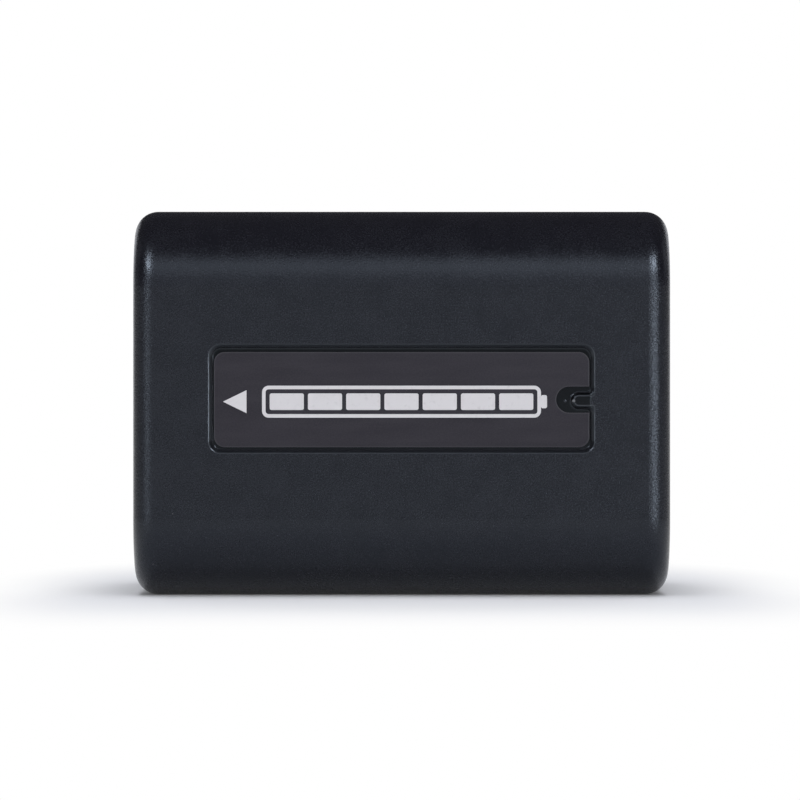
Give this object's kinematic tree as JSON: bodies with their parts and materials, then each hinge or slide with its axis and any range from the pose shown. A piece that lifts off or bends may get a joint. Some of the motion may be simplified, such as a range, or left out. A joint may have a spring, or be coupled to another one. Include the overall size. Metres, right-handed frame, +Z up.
{
  "type": "camera battery",
  "caption": "Slide-on lithium-ion camera battery: rounded black case with an inset label, side rails, terminal slots and a lock pocket, with cells and a protection board inside.",
  "frame": {"origin": "under the middle of the pack, on the surface that its long side stands on", "axes": "+X along the pack, -X the way it slides on; -Y out of the labelled face, +Y out of the mounting face; +Z up"},
  "size_m": [0.045, 0.0334, 0.0324],
  "materials": {
    "case_plastic": "black moulded plastic with a fine spark-eroded grain",
    "label_film": "charcoal film",
    "print_ink": "white screen-print ink on the label",
    "cell_can": "nickel-plated drawn steel can",
    "card": "pale insulating paper",
    "foam": "black closed-cell foam tape",
    "nickel": "nickel strip",
    "board": "green solder mask on glass laminate",
    "chip": "black chip resin",
    "fuse_ceramic": "pale ceramic",
    "resistor_ceramic": "black chip resistor",
    "capacitor_ceramic": "tan ceramic",
    "thermistor_resin": "black resin bead",
    "contact_gold": "gold-plated spring copper"
  },
  "bodies": {
    "root": {"outer_cover": "case_plastic", "mount_cover": "case_plastic", "label": "label_film", "cell_lower_front": "cell_can", "cell_lower_rear": "cell_can", "cell_upper_front": "cell_can", "cell_upper_rear": "cell_can", "insulator_pads": "card", "insulation_sheet": "card", "foam_pad": "foam", "positive_strip": "nickel", "negative_strip": "nickel", "series_link": "nickel", "circuit_board": "board", "protection_chip": "chip", "gauge_chip": "chip", "switch_transistor": "chip", "board_fuse": "fuse_ceramic", "chip_resistors": "resistor_ceramic", "chip_capacitors": "capacitor_ceramic", "thermistor": "thermistor_resin", "contact_positive": "contact_gold", "contact_data": "contact_gold", "contact_temperature": "contact_gold", "contact_negative": "contact_gold"}
  },
  "joints": []
}
